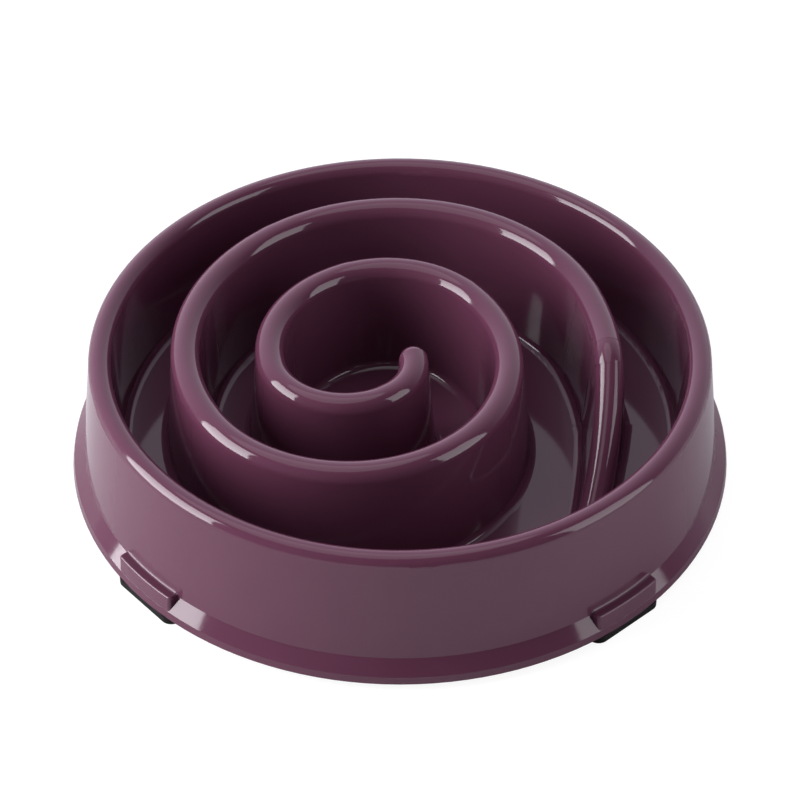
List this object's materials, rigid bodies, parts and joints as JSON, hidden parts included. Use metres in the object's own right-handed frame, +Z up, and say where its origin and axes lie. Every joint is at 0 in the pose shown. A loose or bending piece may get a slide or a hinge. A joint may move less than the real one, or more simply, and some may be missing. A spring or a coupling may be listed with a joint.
{
  "type": "slow feeder bowl",
  "caption": "Round slow feeder bowl with a moulded spiral wall and ramp that spread the food in a winding channel, standing on rubber feet.",
  "frame": {"origin": "middle of the bowl on the ground, at the undersides of the feet", "axes": "+Z up along the bowl's axis; +Y away from the viewer of the picture, +X to that viewer's right"},
  "size_m": [0.21, 0.21, 0.0495],
  "materials": {
    "bowl": "gloss",
    "feet": "matte"
  },
  "bodies": {
    "root": {"bowl": "bowl", "foot_front_left": "feet", "foot_front_right": "feet", "foot_back_left": "feet", "foot_back_right": "feet"}
  },
  "joints": []
}
